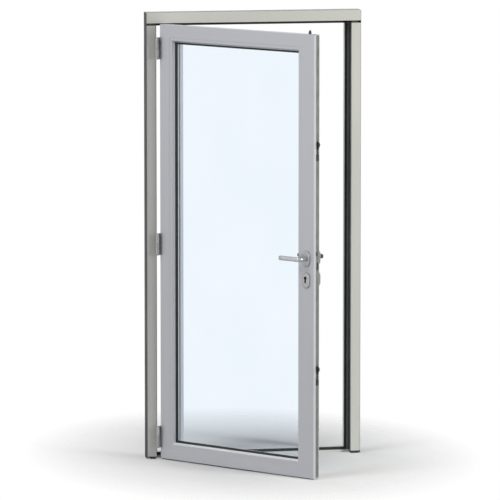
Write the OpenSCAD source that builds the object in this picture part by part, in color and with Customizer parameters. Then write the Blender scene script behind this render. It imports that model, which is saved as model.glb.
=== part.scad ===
// Glazed aluminium door leaf, swung open in its frame.
// The origin is on the floor, in the middle of the threshold's underside.
// +Z is up, -Y is the side the leaf opens to, and the hinges are at -X.
// The leaf is drawn shut and then turned about the hinge pins by open_angle.

/* [Frame] */
// Overall width of the frame
frame_w = 1050; // [800:1:1300]
// Overall height of the frame
frame_h = 2165; // [1950:1:2500]
// Depth of the frame, front to back
frame_d = 75; // [72:1:90]
// Visible face of the two jambs
jamb_face = 46; // [42:0.5:60]
// Visible face of the head
head_face = 51; // [40:0.5:70]
// Depth of the front aluminium shell of the frame
frame_front_d = 20; // [16:0.5:24]
// Thickness of the black strip up each outer side
side_seal = 1.5; // [1:0.1:2]
// Thickness of the rubber seal between leaf and stop
seal_t = 5.5; // [4:0.5:6]
// Gap between the leaf's rear part and the stops
rear_gap = 6; // [5:0.5:8]
// Width of the stop on the lock jamb
lock_stop = 26; // [22:0.5:30]
// Width of the shallow stop on the hinge jamb
hinge_stop = 6; // [4:0.5:7]
// Drop of the stop under the head
head_stop = 14; // [12:0.5:16]
// Wall of the aluminium sections
wall = 2; // [1.6:0.1:2.6]
// Thickness of the plastic bars that join the shells
bar_t = 4; // [3:0.5:5]

/* [Threshold and joints] */
// Height of the threshold base
sill_h = 12; // [8:0.5:16]
// Depth of the threshold in front of the stop
sill_nose = 5; // [3:0.5:5]
// Height of the threshold stop above its base
sill_stop = 14; // [8:0.5:14]
// Thickness of the rubber pads under the head
head_pad = 11; // [6:0.5:12]
// Distance of the lock side pads from the outer side
pad_inset = 17; // [0:1:25]

/* [Leaf] */
// Angle that the leaf stands open at
open_angle = 49.7; // [20:0.1:80]
// Gap between a jamb and the leaf
side_gap = 6; // [5:0.5:8]
// Gap between the head and the leaf
top_gap = 4; // [3:0.5:6]
// Height of the leaf's aluminium above the floor
floor_gap = 6; // [5:0.5:9]
// Thickness of the leaf
leaf_t = 75; // [70:1:85]
// Thickness of the overlapping edge of the leaf
nose_t = 40; // [38:0.5:40]
// Depth of the front aluminium shell of the leaf
leaf_front_d = 16; // [14:0.5:17]
// Front of the leaf's rear aluminium shell
leaf_rear_w = 46; // [42:0.5:48]
// Visible face of the hinge stile and the rails
stile_face = 60; // [54:0.5:75]
// Visible face of the lock stile
lock_face = 78; // [74:0.5:90]

/* [Glazing] */
// Width of the glazing bead
bead_w = 22; // [18:0.5:26]
// Depth of the glazing bead
bead_d = 15; // [14:0.5:18]
// Flat part of the bead's face
bead_flat = 14; // [8:0.5:16]
// Front face of the glass, from the leaf's front
glass_w = 24; // [22:0.5:26]
// Thickness of one pane
pane_t = 4; // [3:0.5:6]
// Thickness of the sealed glass unit
unit_t = 26; // [20:0.5:27]
// Depth of glass held behind the bead
glass_hold = 14; // [10:0.5:16]
// Width of the gasket seen on the glass
gasket_show = 10; // [4:0.5:14]

/* [Hinges] */
// Radius of the hinge barrel
barrel_r = 9; // [8:0.5:10]
// Radius of the hinge pin
pin_r = 4; // [3:0.5:5]
// Distance of the pin in front of the frame's face
pin_offset = 18; // [16:0.5:22]
// Height of one hinge barrel, both knuckles
barrel_h = 106; // [80:1:130]
// Height of the lowest hinge's middle
hinge_low = 111; // [90:1:250]
// Height of the middle hinge's middle
hinge_mid = 1049; // [900:1:1150]
// Distance from the frame's top down to the top hinge's middle
hinge_drop = 170; // [168:1:300]
// Thickness of the hinge wings
wing_t = 3.5; // [2:0.1:4]
// Depth of the hinge wings behind the leaf's face
wing_d = 19; // [18:0.5:30]

/* [Lock] */
// Distance of the handle axis from the leaf's edge
backset = 45; // [40:0.5:50]
// Height of the handle axis above the floor
handle_z = 1052; // [1000:1:1100]
// Distance from the handle axis down to the cylinder axis
cylinder_pitch = 92; // [85:0.5:94]
// Width of the lock's faceplate
plate_w = 22; // [16:0.5:22]
// Thickness of the lock's faceplate
plate_t = 3; // [2:0.1:4]
// Thickness of the lock case
case_t = 16; // [15:0.5:17]
// How far the latch stands out
latch_out = 9; // [8:0.5:14]
// Height of the upper hook's pivot
hook_high = 1549; // [1350:1:1650]
// Height of the lower hook's pivot
hook_low = 484; // [300:1:700]
// Length of a hook from its pivot
hook_l = 58; // [50:0.5:59]
// Height that the top bolt stands above the leaf's edge
top_bolt_out = 18; // [10:0.5:20]
// Radius of the cylinder hole's round part
cyl_r = 8.6; // [8.5:0.1:9]

/* [Handle] */
// Length of the lever from its axis
lever_l = 124; // [100:1:140]
// Height of the lever's grip
lever_h = 22; // [16:0.5:26]
// Thickness of the lever's grip
lever_t = 12; // [8:0.5:16]
// Gap between the grip and the leaf
lever_gap = 44; // [35:0.5:60]
// Gap between the outer lever's turned-back end and the leaf
end_gap = 10; // [9:0.5:20]
// Width of the oval plates
oval_w = 44; // [34:0.5:46]
// Height of the oval plates
oval_h = 76; // [60:0.5:80]
// Thickness of the oval plates
oval_t = 8; // [5:0.5:10]

/* [Hidden] */
$fn = 48;
frame_col = [0.77, 0.77, 0.75];
leaf_col = [0.69, 0.71, 0.73];
black = [0.11, 0.12, 0.12];
steel = [0.55, 0.56, 0.54];
satin = [0.8, 0.81, 0.82];
glass_col = [0.87, 0.93, 0.96, 0.5];

run = 0.1;
play = 0.3;
seat = 0.2;
far = 400;
stop_y = nose_t + seal_t + 0.5;
half_w = frame_w/2;
head_z = frame_h - head_face;
jamb_in = half_w - jamb_face;
shell_w = half_w - side_seal;
jamb_shell = jamb_face - side_seal;
lock_tip = jamb_in - lock_stop;
hinge_tip = jamb_in - hinge_stop;
front_top = head_z - head_pad;
rear_top = head_z - head_stop;
sill_y = stop_y - sill_nose;
origin_y = (sill_y + frame_d)/2;

nose_hinge = hinge_stop - side_gap + 2*rear_gap;
nose_lock = lock_stop - side_gap + rear_gap;
nose_top = head_stop - top_gap + rear_gap;
nose_bottom = sill_h + sill_stop - floor_gap + rear_gap;
leaf_x0 = -jamb_in + side_gap;
leaf_x1 = jamb_in - side_gap;
leaf_z0 = floor_gap;
leaf_z1 = head_z - top_gap;
in_x0 = leaf_x0 + stile_face;
in_x1 = leaf_x1 - lock_face;
in_z0 = leaf_z0 + stile_face;
in_z1 = leaf_z1 - stile_face;
pin_x = -jamb_in + side_gap/2;
glass_back = glass_w + unit_t;
leg_w = glass_back + 4;
edge_a = bead_w - glass_hold;
spacer_w = 11;
block_l = 80;
block_x = 130;
block_z = 200;
bar_a = 4;

handle_x = leaf_x1 - backset;
cyl_z = handle_z - cylinder_pitch;
oval_zs = [handle_z, cyl_z - 10];
mid_w = (leaf_front_d + nose_t)/2;
case_wall = 1.5;
case_up = 75;
case_down = 56;
case_top = handle_z + case_up;
case_bottom = cyl_z - case_down;
case_back = backset + 15;
hook_back = 40;
hook_up = 66;
hook_down = 50;
hook_x = leaf_x1 - 14;
hook_t = 8;
hook_lean = 25;
hook_zs = [hook_high, hook_low];
pivot_r = 3;
bolt_t = 12;
latch_z = [handle_z + 16, handle_z + 32];
dead_z = [handle_z - 52, handle_z - 16];
rod_x = leaf_x1 - 46;
rod_r = 4;
tip_r = 7;
tip_l = 30;
tip_cone = 9;
rod_front = mid_w - case_t/2 + case_wall + seat;
rod_back = mid_w - hook_t/2 - play;
plate_end = 4;
latch_keep_up = 52;
latch_keep_down = 72;
hook_keep_up = 74;
hook_keep_down = 16;
keep_screw_end = 7;
rod_up = 58;
rod_down = 72;
rod_gap = 5;
rod_w = 11;
guide_w = 16;
guide_t = 3;
guide_top = 5;
guide_low = 33;
plate_z0 = leaf_z0 + plate_end;
plate_z1 = leaf_z1 - plate_end;
knuckle_gap = 1;
screw_r = 2.5;
screw_head_r = 5;
screw_seat = 1;
hub_r = 9;
neck_r = 10;
spindle_s = 8;
hinge_zs = [hinge_low, hinge_mid, frame_h - hinge_drop];

// Placing helpers

// Frame pieces are drawn from the frame's front face, then moved to the origin
module framed() {
    translate([0, -origin_y, 0])
        children();
}

// Turns what is drawn in the shut position to the open one
module open_leaf() {
    translate([pin_x, -pin_offset - origin_y, 0])
        rotate([0, 0, -open_angle])
            translate([-pin_x, pin_offset, 0])
                children();
}

// Section drawn as (distance from the shell's outer side, depth), stood up as a jamb
module jamb_bar(z0, z1, lock_side) {
    translate([lock_side ? shell_w : -shell_w, 0, z0])
        mirror([lock_side ? 1 : 0, 0, 0])
            linear_extrude(z1 - z0)
                children();
}

// Section drawn as (distance from the top, depth), laid along X
module head_bar(z_top, x0, x1) {
    translate([x0, 0, z_top])
        rotate([0, 90, 0])
            linear_extrude(x1 - x0)
                children();
}

// Section of a hollow tube between two corners
module tube_2d(a0, w0, a1, w1, t = wall) {
    difference() {
        translate([a0, w0])
            square([a1 - a0, w1 - w0]);
        translate([a0 + t, w0 + t])
            square([a1 - a0 - 2*t, w1 - w0 - 2*t]);
    }
}

// Box between two corners
module block(lo, hi) {
    translate(lo)
        cube(hi - lo);
}

// Round bar along Y between two depths
module y_rod(x, z, r, y0, y1) {
    translate([x, y0, z])
        rotate([-90, 0, 0])
            cylinder(h = y1 - y0, r = r);
}

// Frame sections

module frame_front_2d(face) {
    tube_2d(0, 0, face, frame_front_d);
}

module frame_rear_2d(face, stop) {
    tube_2d(0, stop_y, face + stop, frame_d);
    translate([face - wall, stop_y + wall])
        square([wall, frame_d - stop_y - 2*wall]);
}

module frame_bars_2d(face) {
    for (b = [bar_a, face - 2 - bar_t])
        translate([b, frame_front_d])
            square([bar_t, stop_y - frame_front_d]);
}

module head_front_shell() color(frame_col)
    head_bar(frame_h, -shell_w, shell_w)
        frame_front_2d(head_face);

module head_rear_shell() color(frame_col)
    head_bar(frame_h, -shell_w, shell_w)
        frame_rear_2d(head_face, head_stop);

// Plastic bars of the head and the hinge jamb, with the top bolt's way
module frame_thermal_bars() color(black) {
    difference() {
        head_bar(frame_h, -shell_w + seat, shell_w - seat)
            frame_bars_2d(head_face);
        translate([rod_x, mid_w, head_z - 1])
            cylinder(h = 20, r = tip_r + 1.5);
    }
    jamb_bar(sill_h, front_top, false)
        frame_bars_2d(jamb_shell);
}

module hinge_jamb_front_shell() color(frame_col)
    difference() {
        jamb_bar(sill_h, front_top, false)
            frame_front_2d(jamb_shell);
        wing_screw_holes(-1);
    }

module hinge_jamb_rear_shell() color(frame_col)
    jamb_bar(sill_h, rear_top, false)
        frame_rear_2d(jamb_shell, hinge_stop);

module lock_jamb_front_shell() color(frame_col)
    jamb_bar(sill_h, front_top, true)
        frame_front_2d(jamb_shell);

module lock_jamb_rear_shell() color(frame_col)
    jamb_bar(sill_h, rear_top, true)
        frame_rear_2d(jamb_shell, lock_stop);

module lock_jamb_thermal_bars() color(black)
    difference() {
        jamb_bar(sill_h, front_top, true)
            frame_bars_2d(jamb_shell);
        keep_slots(play, frame_front_d - 1);
        all_keep_screws()
            translate([0, 0, -1])
                cylinder(h = bar_t + 2, r = screw_r + run);
    }

// Threshold, seals and pads

module threshold_base() color(frame_col)
    translate([-shell_w, 0, 0])
        rotate([90, 0, 90])
            linear_extrude(2*shell_w)
                difference() {
                    polygon([[sill_y, 0], [frame_d, 0], [frame_d, sill_h],
                             [sill_y + 2, sill_h], [sill_y, sill_h - 2]]);
                    for (y = [sill_y + wall, (sill_y + frame_d)/2 + wall/2])
                        translate([y, wall])
                            square([(frame_d - sill_y - 3*wall)/2, sill_h - 2*wall]);
                }

module threshold_stop() color(frame_col)
    translate([-hinge_tip + seat, 0, sill_h])
        rotate([90, 0, 90])
            linear_extrude(hinge_tip + lock_tip - 2*seat)
                tube_2d(stop_y, 0, frame_d, sill_stop);

// Section of a stop gasket: flat foot and a rounded lip towards the leaf
module seal_2d(w) {
    translate([0, seal_t - 2])
        square([w, 2]);
    translate([w - seal_t/2, seal_t/2])
        circle(r = seal_t/2);
    translate([w - seal_t, seal_t/2])
        square([seal_t, seal_t/2]);
    translate([0, seal_t/2])
        square([2, seal_t/2]);
}

// Strip of foam up each outer side, against the wall opening
module side_strips() {
    edge = 1;
    for (s = [0, 1])
        mirror([s, 0, 0])
            block([shell_w + run/2, edge, edge], [half_w, frame_d - edge, frame_h - edge]);
}

module frame_gaskets() color(black) {
    side_strips();
    seal_y = stop_y - seal_t;
    lock_seal = lock_stop - 1;
    hinge_seal = hinge_stop + 3;
    sill_x0 = -jamb_in + hinge_seal + 1;
    translate([lock_tip, seal_y, sill_h])
        linear_extrude(rear_top - sill_h - seat)
            translate([lock_seal, 0])
                mirror([1, 0])
                    seal_2d(lock_seal);
    translate([-jamb_in + seat, seal_y, sill_h])
        linear_extrude(rear_top - sill_h - seat)
            seal_2d(hinge_seal);
    translate([sill_x0, seal_y, sill_h])
        rotate([90, 0, 90])
            linear_extrude(lock_tip - sill_x0 - seat)
                seal_2d_up(sill_stop);
    translate([-jamb_in + seat, seal_y, rear_top])
        rotate([90, 0, 90])
            linear_extrude(2*jamb_in - 2*seat)
                translate([0, head_stop])
                    mirror([0, 1])
                        seal_2d_up(head_stop);
}

// The same section with its lip at the top, drawn as (depth, height)
module seal_2d_up(h) {
    translate([seal_t - 2, 0])
        square([2, h]);
    translate([seal_t/2, h - seal_t/2])
        circle(r = seal_t/2);
    translate([seal_t/2, h - seal_t])
        square([seal_t/2, seal_t]);
}

module joint_pads() color(black) {
    pad_y1 = stop_y - 2;
    block([-shell_w + 1, 2, front_top], [-jamb_in - 1, pad_y1, head_z]);
    block([jamb_in + 1, 2, front_top], [half_w - pad_inset, pad_y1, head_z]);
    block([-half_w + pad_inset, 2, 0], [-jamb_in - 4, sill_y - seat, sill_h]);
    block([jamb_in + 1, 2, 0], [half_w - pad_inset/2, sill_y - seat, sill_h]);
}

// Keeps on the lock jamb

// Clear ways for the latch, the deadbolt and the hooks, as [low, high, width]
keep_ways = [[latch_z[0] - 2, latch_z[1] + 2, bolt_t + 2],
             [dead_z[0] - 2, dead_z[1] + 2, bolt_t + 2],
             [hook_high - 2, hook_high + 60, hook_t + 2],
             [hook_low - 2, hook_low + 60, hook_t + 2]];

module keep_slots(grow, y_low = 0)
    for (p = keep_ways)
        block([jamb_in - 1, y_low > 0 ? y_low : mid_w - p[2]/2 - grow, p[0] - grow],
              [jamb_in + 22, mid_w + p[2]/2 + grow, p[1] + grow]);

module keep(z0, z1) color(black)
    difference() {
        block([jamb_in + seat/2, frame_front_d + seat, z0],
              [jamb_in + 2, stop_y - seal_t - seat, z1]);
        keep_slots(0);
        keep_screw_places(z0, z1)
            screw_hole(2);
    }

module keep_screw_places(z0, z1)
    for (z = [z0 + keep_screw_end, z1 - keep_screw_end])
        translate([jamb_in + 2, mid_w, z])
            rotate([0, 90, 0])
                children();

latch_keep_z = [handle_z - latch_keep_down, handle_z + latch_keep_up];

function hook_keep_z(z) = [z - hook_keep_down, z + hook_keep_up];

module all_keep_screws() {
    keep_screw_places(latch_keep_z[0], latch_keep_z[1])
        children();
    for (z = hook_zs)
        keep_screw_places(hook_keep_z(z)[0], hook_keep_z(z)[1])
            children();
}

module latch_keep() keep(latch_keep_z[0], latch_keep_z[1]);

module hook_keeps()
    for (z = hook_zs)
        keep(hook_keep_z(z)[0], hook_keep_z(z)[1]);

// Fixing screw along +Z: the sheet's outer face is at -t and its inner face at 0
module screw(t, length) color(steel)
    translate([0, 0, -t + screw_seat/2]) {
        cylinder(h = screw_seat, r1 = screw_head_r - 0.5, r2 = screw_r);
        cylinder(h = length + t, r = screw_r);
    }

module screw_hole(t) {
    translate([0, 0, -t - 1])
        cylinder(h = t + 3, r = screw_r + run);
    translate([0, 0, -t - 1])
        cylinder(h = 1 + screw_seat/2, r = screw_head_r);
    translate([0, 0, -t + screw_seat/2])
        cylinder(h = screw_seat + run, r1 = screw_head_r - 0.5 + run, r2 = screw_r + run);
}

// Hinges, each of two knuckles on one pin

// Screw places of a hinge wing, with +Z into the profile that carries it
module wing_screw_places(z, side)
    for (dz = [-14, 14])
        translate([pin_x + side*side_gap/2, 10, z + side*barrel_h/4 + dz])
            rotate([0, side*90, 0])
                children();

module wing_screw_holes(side)
    for (z = hinge_zs)
        wing_screw_places(z, side)
            translate([0, 0, -1])
                cylinder(h = wall + 2, r = screw_r + run);

// One knuckle with its wing; side is -1 on the frame and 1 on the leaf
module knuckle(z, side) color(satin) {
    z0 = z + (side > 0 ? knuckle_gap/2 : -barrel_h/2);
    kh = (barrel_h - knuckle_gap)/2;
    wing_x = side > 0 ? pin_x + side_gap/2 - wing_t : pin_x - side_gap/2;
    lip = 2;
    difference() {
        union() {
            translate([pin_x, -pin_offset, z0 + (side > 0 ? 0 : lip)])
                cylinder(h = kh - lip, r = barrel_r);
            translate([pin_x, -pin_offset, z0 + (side > 0 ? kh - lip : 0)])
                cylinder(h = lip, r1 = barrel_r - (side > 0 ? 0 : lip),
                         r2 = barrel_r - (side > 0 ? lip : 0));
            block([wing_x, -pin_offset, z0], [wing_x + wing_t, wing_d, z0 + kh]);
        }
        translate([pin_x, -pin_offset, z0 + (side > 0 ? -1 : 4)])
            cylinder(h = kh - 3, r = pin_r + (side > 0 ? 0.06 : 0.02));
        wing_screw_places(z, side)
            screw_hole(wing_t);
    }
}

module hinge_pins() color(satin)
    for (z = hinge_zs)
        translate([pin_x, -pin_offset, z - barrel_h/2 + 4 + play])
            cylinder(h = barrel_h - 8 - 3*play, r = pin_r);

module hinge_washers() color(black)
    for (z = hinge_zs)
        translate([pin_x, -pin_offset, z - (knuckle_gap - run)/2])
            difference() {
                cylinder(h = knuckle_gap - run, r = barrel_r - 0.5);
                translate([0, 0, -1])
                    cylinder(h = knuckle_gap + 2, r = pin_r + run);
            }

module frame_screws() {
    for (z = hinge_zs)
        wing_screw_places(z, -1)
            screw(wing_t, nose_hinge - 3);
    all_keep_screws()
        screw(2, nose_hinge - 3);
}

module leaf_screws() {
    for (z = hinge_zs)
        wing_screw_places(z, 1)
            screw(wing_t, nose_hinge - 3);
    plate_screw_places()
        screw(plate_t, nose_hinge - 3);
    for (z = [oval_zs[0] - oval_screw_z, oval_zs[0] + oval_screw_z,
              oval_zs[1] - oval_screw_z - 3, oval_zs[1] + oval_screw_z + 3])
        color(steel)
            y_rod(handle_x, z, oval_screw_r, -oval_t, leaf_t + oval_t);
}

// Leaf sections, drawn as (distance from the outer edge, depth)

// Front shell with the overlapping nose, as one hollow section
module leaf_front_2d(face, nose) {
    difference() {
        union() {
            square([face, leaf_front_d]);
            square([nose, nose_t]);
        }
        translate([wall, wall])
            square([nose - 2*wall, nose_t - 2*wall]);
        translate([nose, wall])
            square([face - nose - wall, leaf_front_d - 2*wall]);
    }
}

// Rear shell with the leg that backs the glass
module leaf_rear_2d(face, nose) {
    body = face - nose;
    tube_2d(nose, leaf_rear_w, nose + body, leaf_t);
    tube_2d(nose + body - wall, leg_w, face + bead_w, leaf_t);
}

module leaf_bars_2d(face, nose) {
    for (a = [nose + bar_a, face - bar_a - bar_t])
        translate([a, leaf_front_d])
            square([bar_t, leaf_rear_w - leaf_front_d]);
}

// Glazing bead with a bevelled face
module bead_2d(face) {
    a0 = face + play;
    a1 = face + bead_w;
    flat = a0 + bead_flat;
    bevel_w = bead_d - 3;
    t = 1.5;
    difference() {
        polygon([[a0, play], [flat, play], [a1, bevel_w], [a1, bead_d], [a0, bead_d]]);
        polygon([[a0 + t, play + t], [flat - t/2, play + t], [a1 - t, bevel_w + t/3],
                 [a1 - t, bead_d - t], [a0 + t, bead_d - t]]);
    }
}

// Wedge gasket between the bead and the glass
module inner_gasket_2d(face) {
    a1 = face + bead_w;
    a0 = a1 - glass_hold + 2;
    polygon([[a0, bead_d + 0.05], [a1, bead_d + 0.05], [a1 + gasket_show, glass_w - 1],
             [a1 + gasket_show, glass_w - 0.05], [a0, glass_w - 0.05]]);
}

module outer_gasket_2d(face) {
    a1 = face + bead_w - 2;
    a0 = face + edge_a + 2;
    polygon([[a0, glass_back + 0.05], [a1, glass_back + 0.05], [a1, leg_w - 1],
             [a1 - 1, leg_w - 0.05], [a0, leg_w - 0.05]]);
}

// Members of the leaf: each is cut to its mitres and to the outline at its depth

// Outline of the leaf at a depth, as [x0, z0, x1, z1]
function outline(rear) = rear
    ? [leaf_x0 + nose_hinge, leaf_z0 + nose_bottom, leaf_x1 - nose_lock, leaf_z1 - nose_top]
    : [leaf_x0, leaf_z0, leaf_x1, leaf_z1];

// Wedge between the two mitres of a member; reach is how far it goes to the glass
module mitre_2d(side, reach = 60) {
    x0 = in_x0;
    x1 = in_x1;
    z0 = in_z0;
    z1 = in_z1;
    r = reach;
    if (side == "hinge")
        polygon([[x0 - far, z0 - far], [x0 + r, z0 + r], [x0 + r, z1 - r], [x0 - far, z1 + far]]);
    if (side == "lock")
        polygon([[x1 + far, z0 - far], [x1 + far, z1 + far], [x1 - r, z1 - r], [x1 - r, z0 + r]]);
    if (side == "top")
        polygon([[x0 - far, z1 + far], [x0 + r, z1 - r], [x1 - r, z1 - r], [x1 + far, z1 + far]]);
    if (side == "bottom")
        polygon([[x0 - far, z0 - far], [x1 + far, z0 - far], [x1 - r, z0 + r], [x0 + r, z0 + r]]);
}

// Stands a section up or lays it along its side of the leaf
module along(side) {
    if (side == "hinge")
        translate([leaf_x0, 0, leaf_z0])
            linear_extrude(leaf_z1 - leaf_z0)
                children();
    if (side == "lock")
        translate([leaf_x1, 0, leaf_z0])
            mirror([1, 0, 0])
                linear_extrude(leaf_z1 - leaf_z0)
                    children();
    if (side == "top")
        translate([leaf_x0, 0, leaf_z1])
            rotate([0, 90, 0])
                linear_extrude(leaf_x1 - leaf_x0)
                    children();
    if (side == "bottom")
        translate([leaf_x1, 0, leaf_z0])
            rotate([0, -90, 0])
                linear_extrude(leaf_x1 - leaf_x0)
                    children();
}

module member(side, rear = false) {
    o = outline(rear);
    intersection() {
        along(side)
            children();
        translate([0, leaf_t + 10, 0])
            rotate([90, 0, 0])
                linear_extrude(leaf_t + 20)
                    intersection() {
                        mitre_2d(side);
                        translate([o[0], o[1]])
                            square([o[2] - o[0], o[3] - o[1]]);
                    }
    }
}

function face_of(side) = side == "lock" ? lock_face : stile_face;
function nose_of(side) = side == "lock" ? nose_lock
    : side == "hinge" ? nose_hinge
    : side == "top" ? nose_top : nose_bottom;

module front_shell(side) color(leaf_col)
    member(side)
        leaf_front_2d(face_of(side), nose_of(side));

module rear_shell(side) color(leaf_col)
    member(side, true)
        leaf_rear_2d(face_of(side), nose_of(side));

module hinge_stile_front_shell() difference() {
    front_shell("hinge");
    wing_screw_holes(1);
}

module hinge_stile_rear_shell() rear_shell("hinge");

module top_rail_front_shell() difference() {
    front_shell("top");
    top_bolt_way();
}

module top_rail_rear_shell() rear_shell("top");

module bottom_rail_front_shell() front_shell("bottom");

module bottom_rail_rear_shell() rear_shell("bottom");

// Way for the top bolt through the corner of the leaf
module top_bolt_way()
    translate([rod_x, mid_w, case_top])
        cylinder(h = leaf_z1 - case_top + 5, r = tip_r + play);

// Hole of a profile cylinder: a round part over a narrow slot
module cylinder_hole(y0, y1) {
    y_rod(handle_x, cyl_z, cyl_r, y0, y1);
    block([handle_x - 5, y0, cyl_z - 24.5], [handle_x + 5, y1, cyl_z]);
}

oval_screw_z = 27;
oval_screw_r = 2;

module oval_screw_holes()
    for (z = [oval_zs[0] - oval_screw_z, oval_zs[0] + oval_screw_z,
              oval_zs[1] - oval_screw_z - 3, oval_zs[1] + oval_screw_z + 3])
        y_rod(handle_x, z, oval_screw_r + run, -oval_t - 1, leaf_t + oval_t + 1);

module stile_holes() {
    y_rod(handle_x, handle_z, hub_r, -1, leaf_t + 1);
    cylinder_hole(-1, leaf_t + 1);
    oval_screw_holes();
}

// Room for the lock, the hook cases and the faceplate
module lock_pockets() {
    y0 = mid_w - case_t/2 - seat;
    y1 = mid_w + case_t/2 + seat;
    block([leaf_x1 - case_back - seat, y0, case_bottom - seat], [leaf_x1 + 1, y1, case_top + seat]);
    for (z = hook_zs)
        block([leaf_x1 - hook_back - seat, y0, z - hook_down - seat],
              [leaf_x1 + 1, y1, z + hook_up + seat]);
    block([leaf_x1 - plate_t, mid_w - plate_w/2 - run, plate_z0 - seat],
          [leaf_x1 + 1, mid_w + plate_w/2 + run, plate_z1 + seat]);
}

module lock_stile_front_shell() difference() {
    front_shell("lock");
    stile_holes();
    lock_pockets();
    top_bolt_way();
}

module lock_stile_rear_shell() difference() {
    rear_shell("lock");
    stile_holes();
}

module leaf_thermal_bars() color(black) difference() {
    for (side = ["hinge", "lock", "top", "bottom"])
        member(side, true)
            leaf_bars_2d(face_of(side), nose_of(side));
    lock_pockets();
    top_bolt_way();
}

// Corner cleats inside the front and rear chambers
module cleat(corner_x, corner_z, dx, dz, w0, w1) {
    arm = 90;
    a0 = 2*wall + seat;
    a1 = 26;
    translate([corner_x, w1, corner_z])
        rotate([90, 0, 0])
            linear_extrude(w1 - w0)
                polygon([[-dx*(wall + seat), -dz*(wall + seat)],
                         [dx*(arm - a0), -dz*(wall + seat)], [dx*(arm - a0), -dz*a1],
                         [-dx*a1, -dz*a1], [-dx*a1, dz*(arm - a0)],
                         [-dx*(wall + seat), dz*(arm - a0)]]);
}

module corner_cleats() color(satin)
    for (c = [[in_x0, in_z0, 1, 1], [in_x1, in_z0, -1, 1], [in_x0, in_z1, 1, -1], [in_x1, in_z1, -1, -1]]) {
        cleat(c[0], c[1], c[2], c[3], wall + seat, leaf_front_d - wall - seat);
        cleat(c[0], c[1], c[2], c[3], leaf_rear_w + wall + seat, leaf_t - wall - seat);
    }

module hinge_side_bead() color(leaf_col) member("hinge") bead_2d(stile_face);

module lock_side_bead() color(leaf_col) member("lock") bead_2d(lock_face);

module top_bead() color(leaf_col) member("top") bead_2d(stile_face);

module bottom_bead() color(leaf_col) member("bottom") bead_2d(stile_face);

// Glass unit and its seals

module glass_sheet(w0, w1, inset = 0)
    block([in_x0 + edge_a + inset, w0, in_z0 + edge_a + inset],
          [in_x1 - edge_a - inset, w1, in_z1 - edge_a - inset]);

module inner_pane() color(glass_col) glass_sheet(glass_w, glass_w + pane_t);

module outer_pane() color(glass_col) glass_sheet(glass_back - pane_t, glass_back);

module pane_spacer() color(satin) difference() {
    glass_sheet(glass_w + pane_t, glass_back - pane_t);
    glass_sheet(glass_w, glass_back, spacer_w);
}

module inner_glazing_gasket() color(black)
    for (side = ["hinge", "lock", "top", "bottom"])
        member(side)
            inner_gasket_2d(face_of(side));

module outer_glazing_gasket() color(black)
    for (side = ["hinge", "lock", "top", "bottom"])
        member(side)
            outer_gasket_2d(face_of(side));

// Blocks that carry the glass unit in its rebate, from the inner bar to the glass
module glazing_blocks() color(black) {
    r = block_l/2;
    for (side = ["top", "bottom"])
        for (x = [in_x0 + block_x, in_x1 - block_x])
            intersection() {
                member(side)
                    glazing_block_2d(face_of(side));
                block([x - r, 0, 0], [x + r, leaf_t, frame_h]);
            }
    for (side = ["hinge", "lock"])
        for (z = [in_z0 + block_z, in_z1 - block_z])
            intersection() {
                member(side)
                    glazing_block_2d(face_of(side));
                block([-half_w, 0, z - r], [half_w, leaf_t, z + r]);
            }
}

module glazing_block_2d(face)
    polygon([[face - bar_a, glass_w], [face + edge_a, glass_w], [face + edge_a, glass_back],
             [face + seat, glass_back], [face + seat, leaf_rear_w - seat],
             [face - bar_a, leaf_rear_w - seat]]);

module bottom_brush() color(black)
    for (w = [3, nose_t - 8])
        block([leaf_x0 + 2, w, 1], [leaf_x1 - 2, w + 5, leaf_z0]);

// Lock

module lock_faceplate() color(steel) difference() {
    block([leaf_x1 - plate_t, mid_w - plate_w/2, plate_z0], [leaf_x1, mid_w + plate_w/2, plate_z1]);
    face_slots();
    plate_screw_places()
        screw_hole(plate_t);
}

module plate_screw_places()
    for (z = [plate_z0 + 12, case_bottom - 12, case_top + 12, plate_z1 - 12])
        translate([leaf_x1 - plate_t, mid_w, z])
            rotate([0, -90, 0])
                children();

// Slots for the latch, the deadbolt and the hooks
module face_slots() {
    x0 = leaf_x1 - plate_t - 3;
    x1 = leaf_x1 + 1;
    for (z = [latch_z, dead_z])
        block([x0, mid_w - bolt_t/2 - play, z[0] - play], [x1, mid_w + bolt_t/2 + play, z[1] + play]);
    for (z = hook_zs)
        block([x0, mid_w - hook_t/2 - play, z - 4], [x1, mid_w + hook_t/2 + play, z + 60]);
}

// Thin-walled box for a mechanism, with slots towards the faceplate
module mech_case(back, z0, z1) {
    y0 = mid_w - case_t/2;
    y1 = mid_w + case_t/2;
    t = case_wall;
    difference() {
        block([leaf_x1 - back, y0, z0], [leaf_x1 - plate_t, y1, z1]);
        block([leaf_x1 - back + t, y0 + t, z0 + t], [leaf_x1 - plate_t - t, y1 - t, z1 - t]);
        face_slots();
        rod_way();
    }
}

module lock_case() color(steel) difference() {
    mech_case(case_back, case_bottom, case_top);
    y_rod(handle_x, handle_z, hub_r, 0, leaf_t);
    cylinder_hole(0, leaf_t);
    oval_screw_holes();
    translate([rod_x, mid_w, case_top - 10])
        cylinder(h = 20, r = rod_r + play);
}

// Cases of the hooks, each with the pivot riveted through its walls
module hook_cases() color(steel)
    for (z = hook_zs) {
        mech_case(hook_back, z - hook_down, z + hook_up);
        y_rod(hook_x, z, pivot_r, mid_w - case_t/2, mid_w + case_t/2);
    }

rod_x1 = leaf_x1 - rod_gap;
rod_x0 = rod_x1 - rod_w;

// Way of the flat drive rods through the ends of the cases
module rod_way()
    block([rod_x0 - play, rod_front - play, hook_low + 10],
          [rod_x1 + play, rod_back + play, hook_high - 10]);

module hook_guides() color(black)
    for (z = hook_zs)
        block([leaf_x1, mid_w - guide_w/2, z - guide_low],
              [leaf_x1 + guide_t, mid_w + guide_w/2, z - guide_top]);

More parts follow.
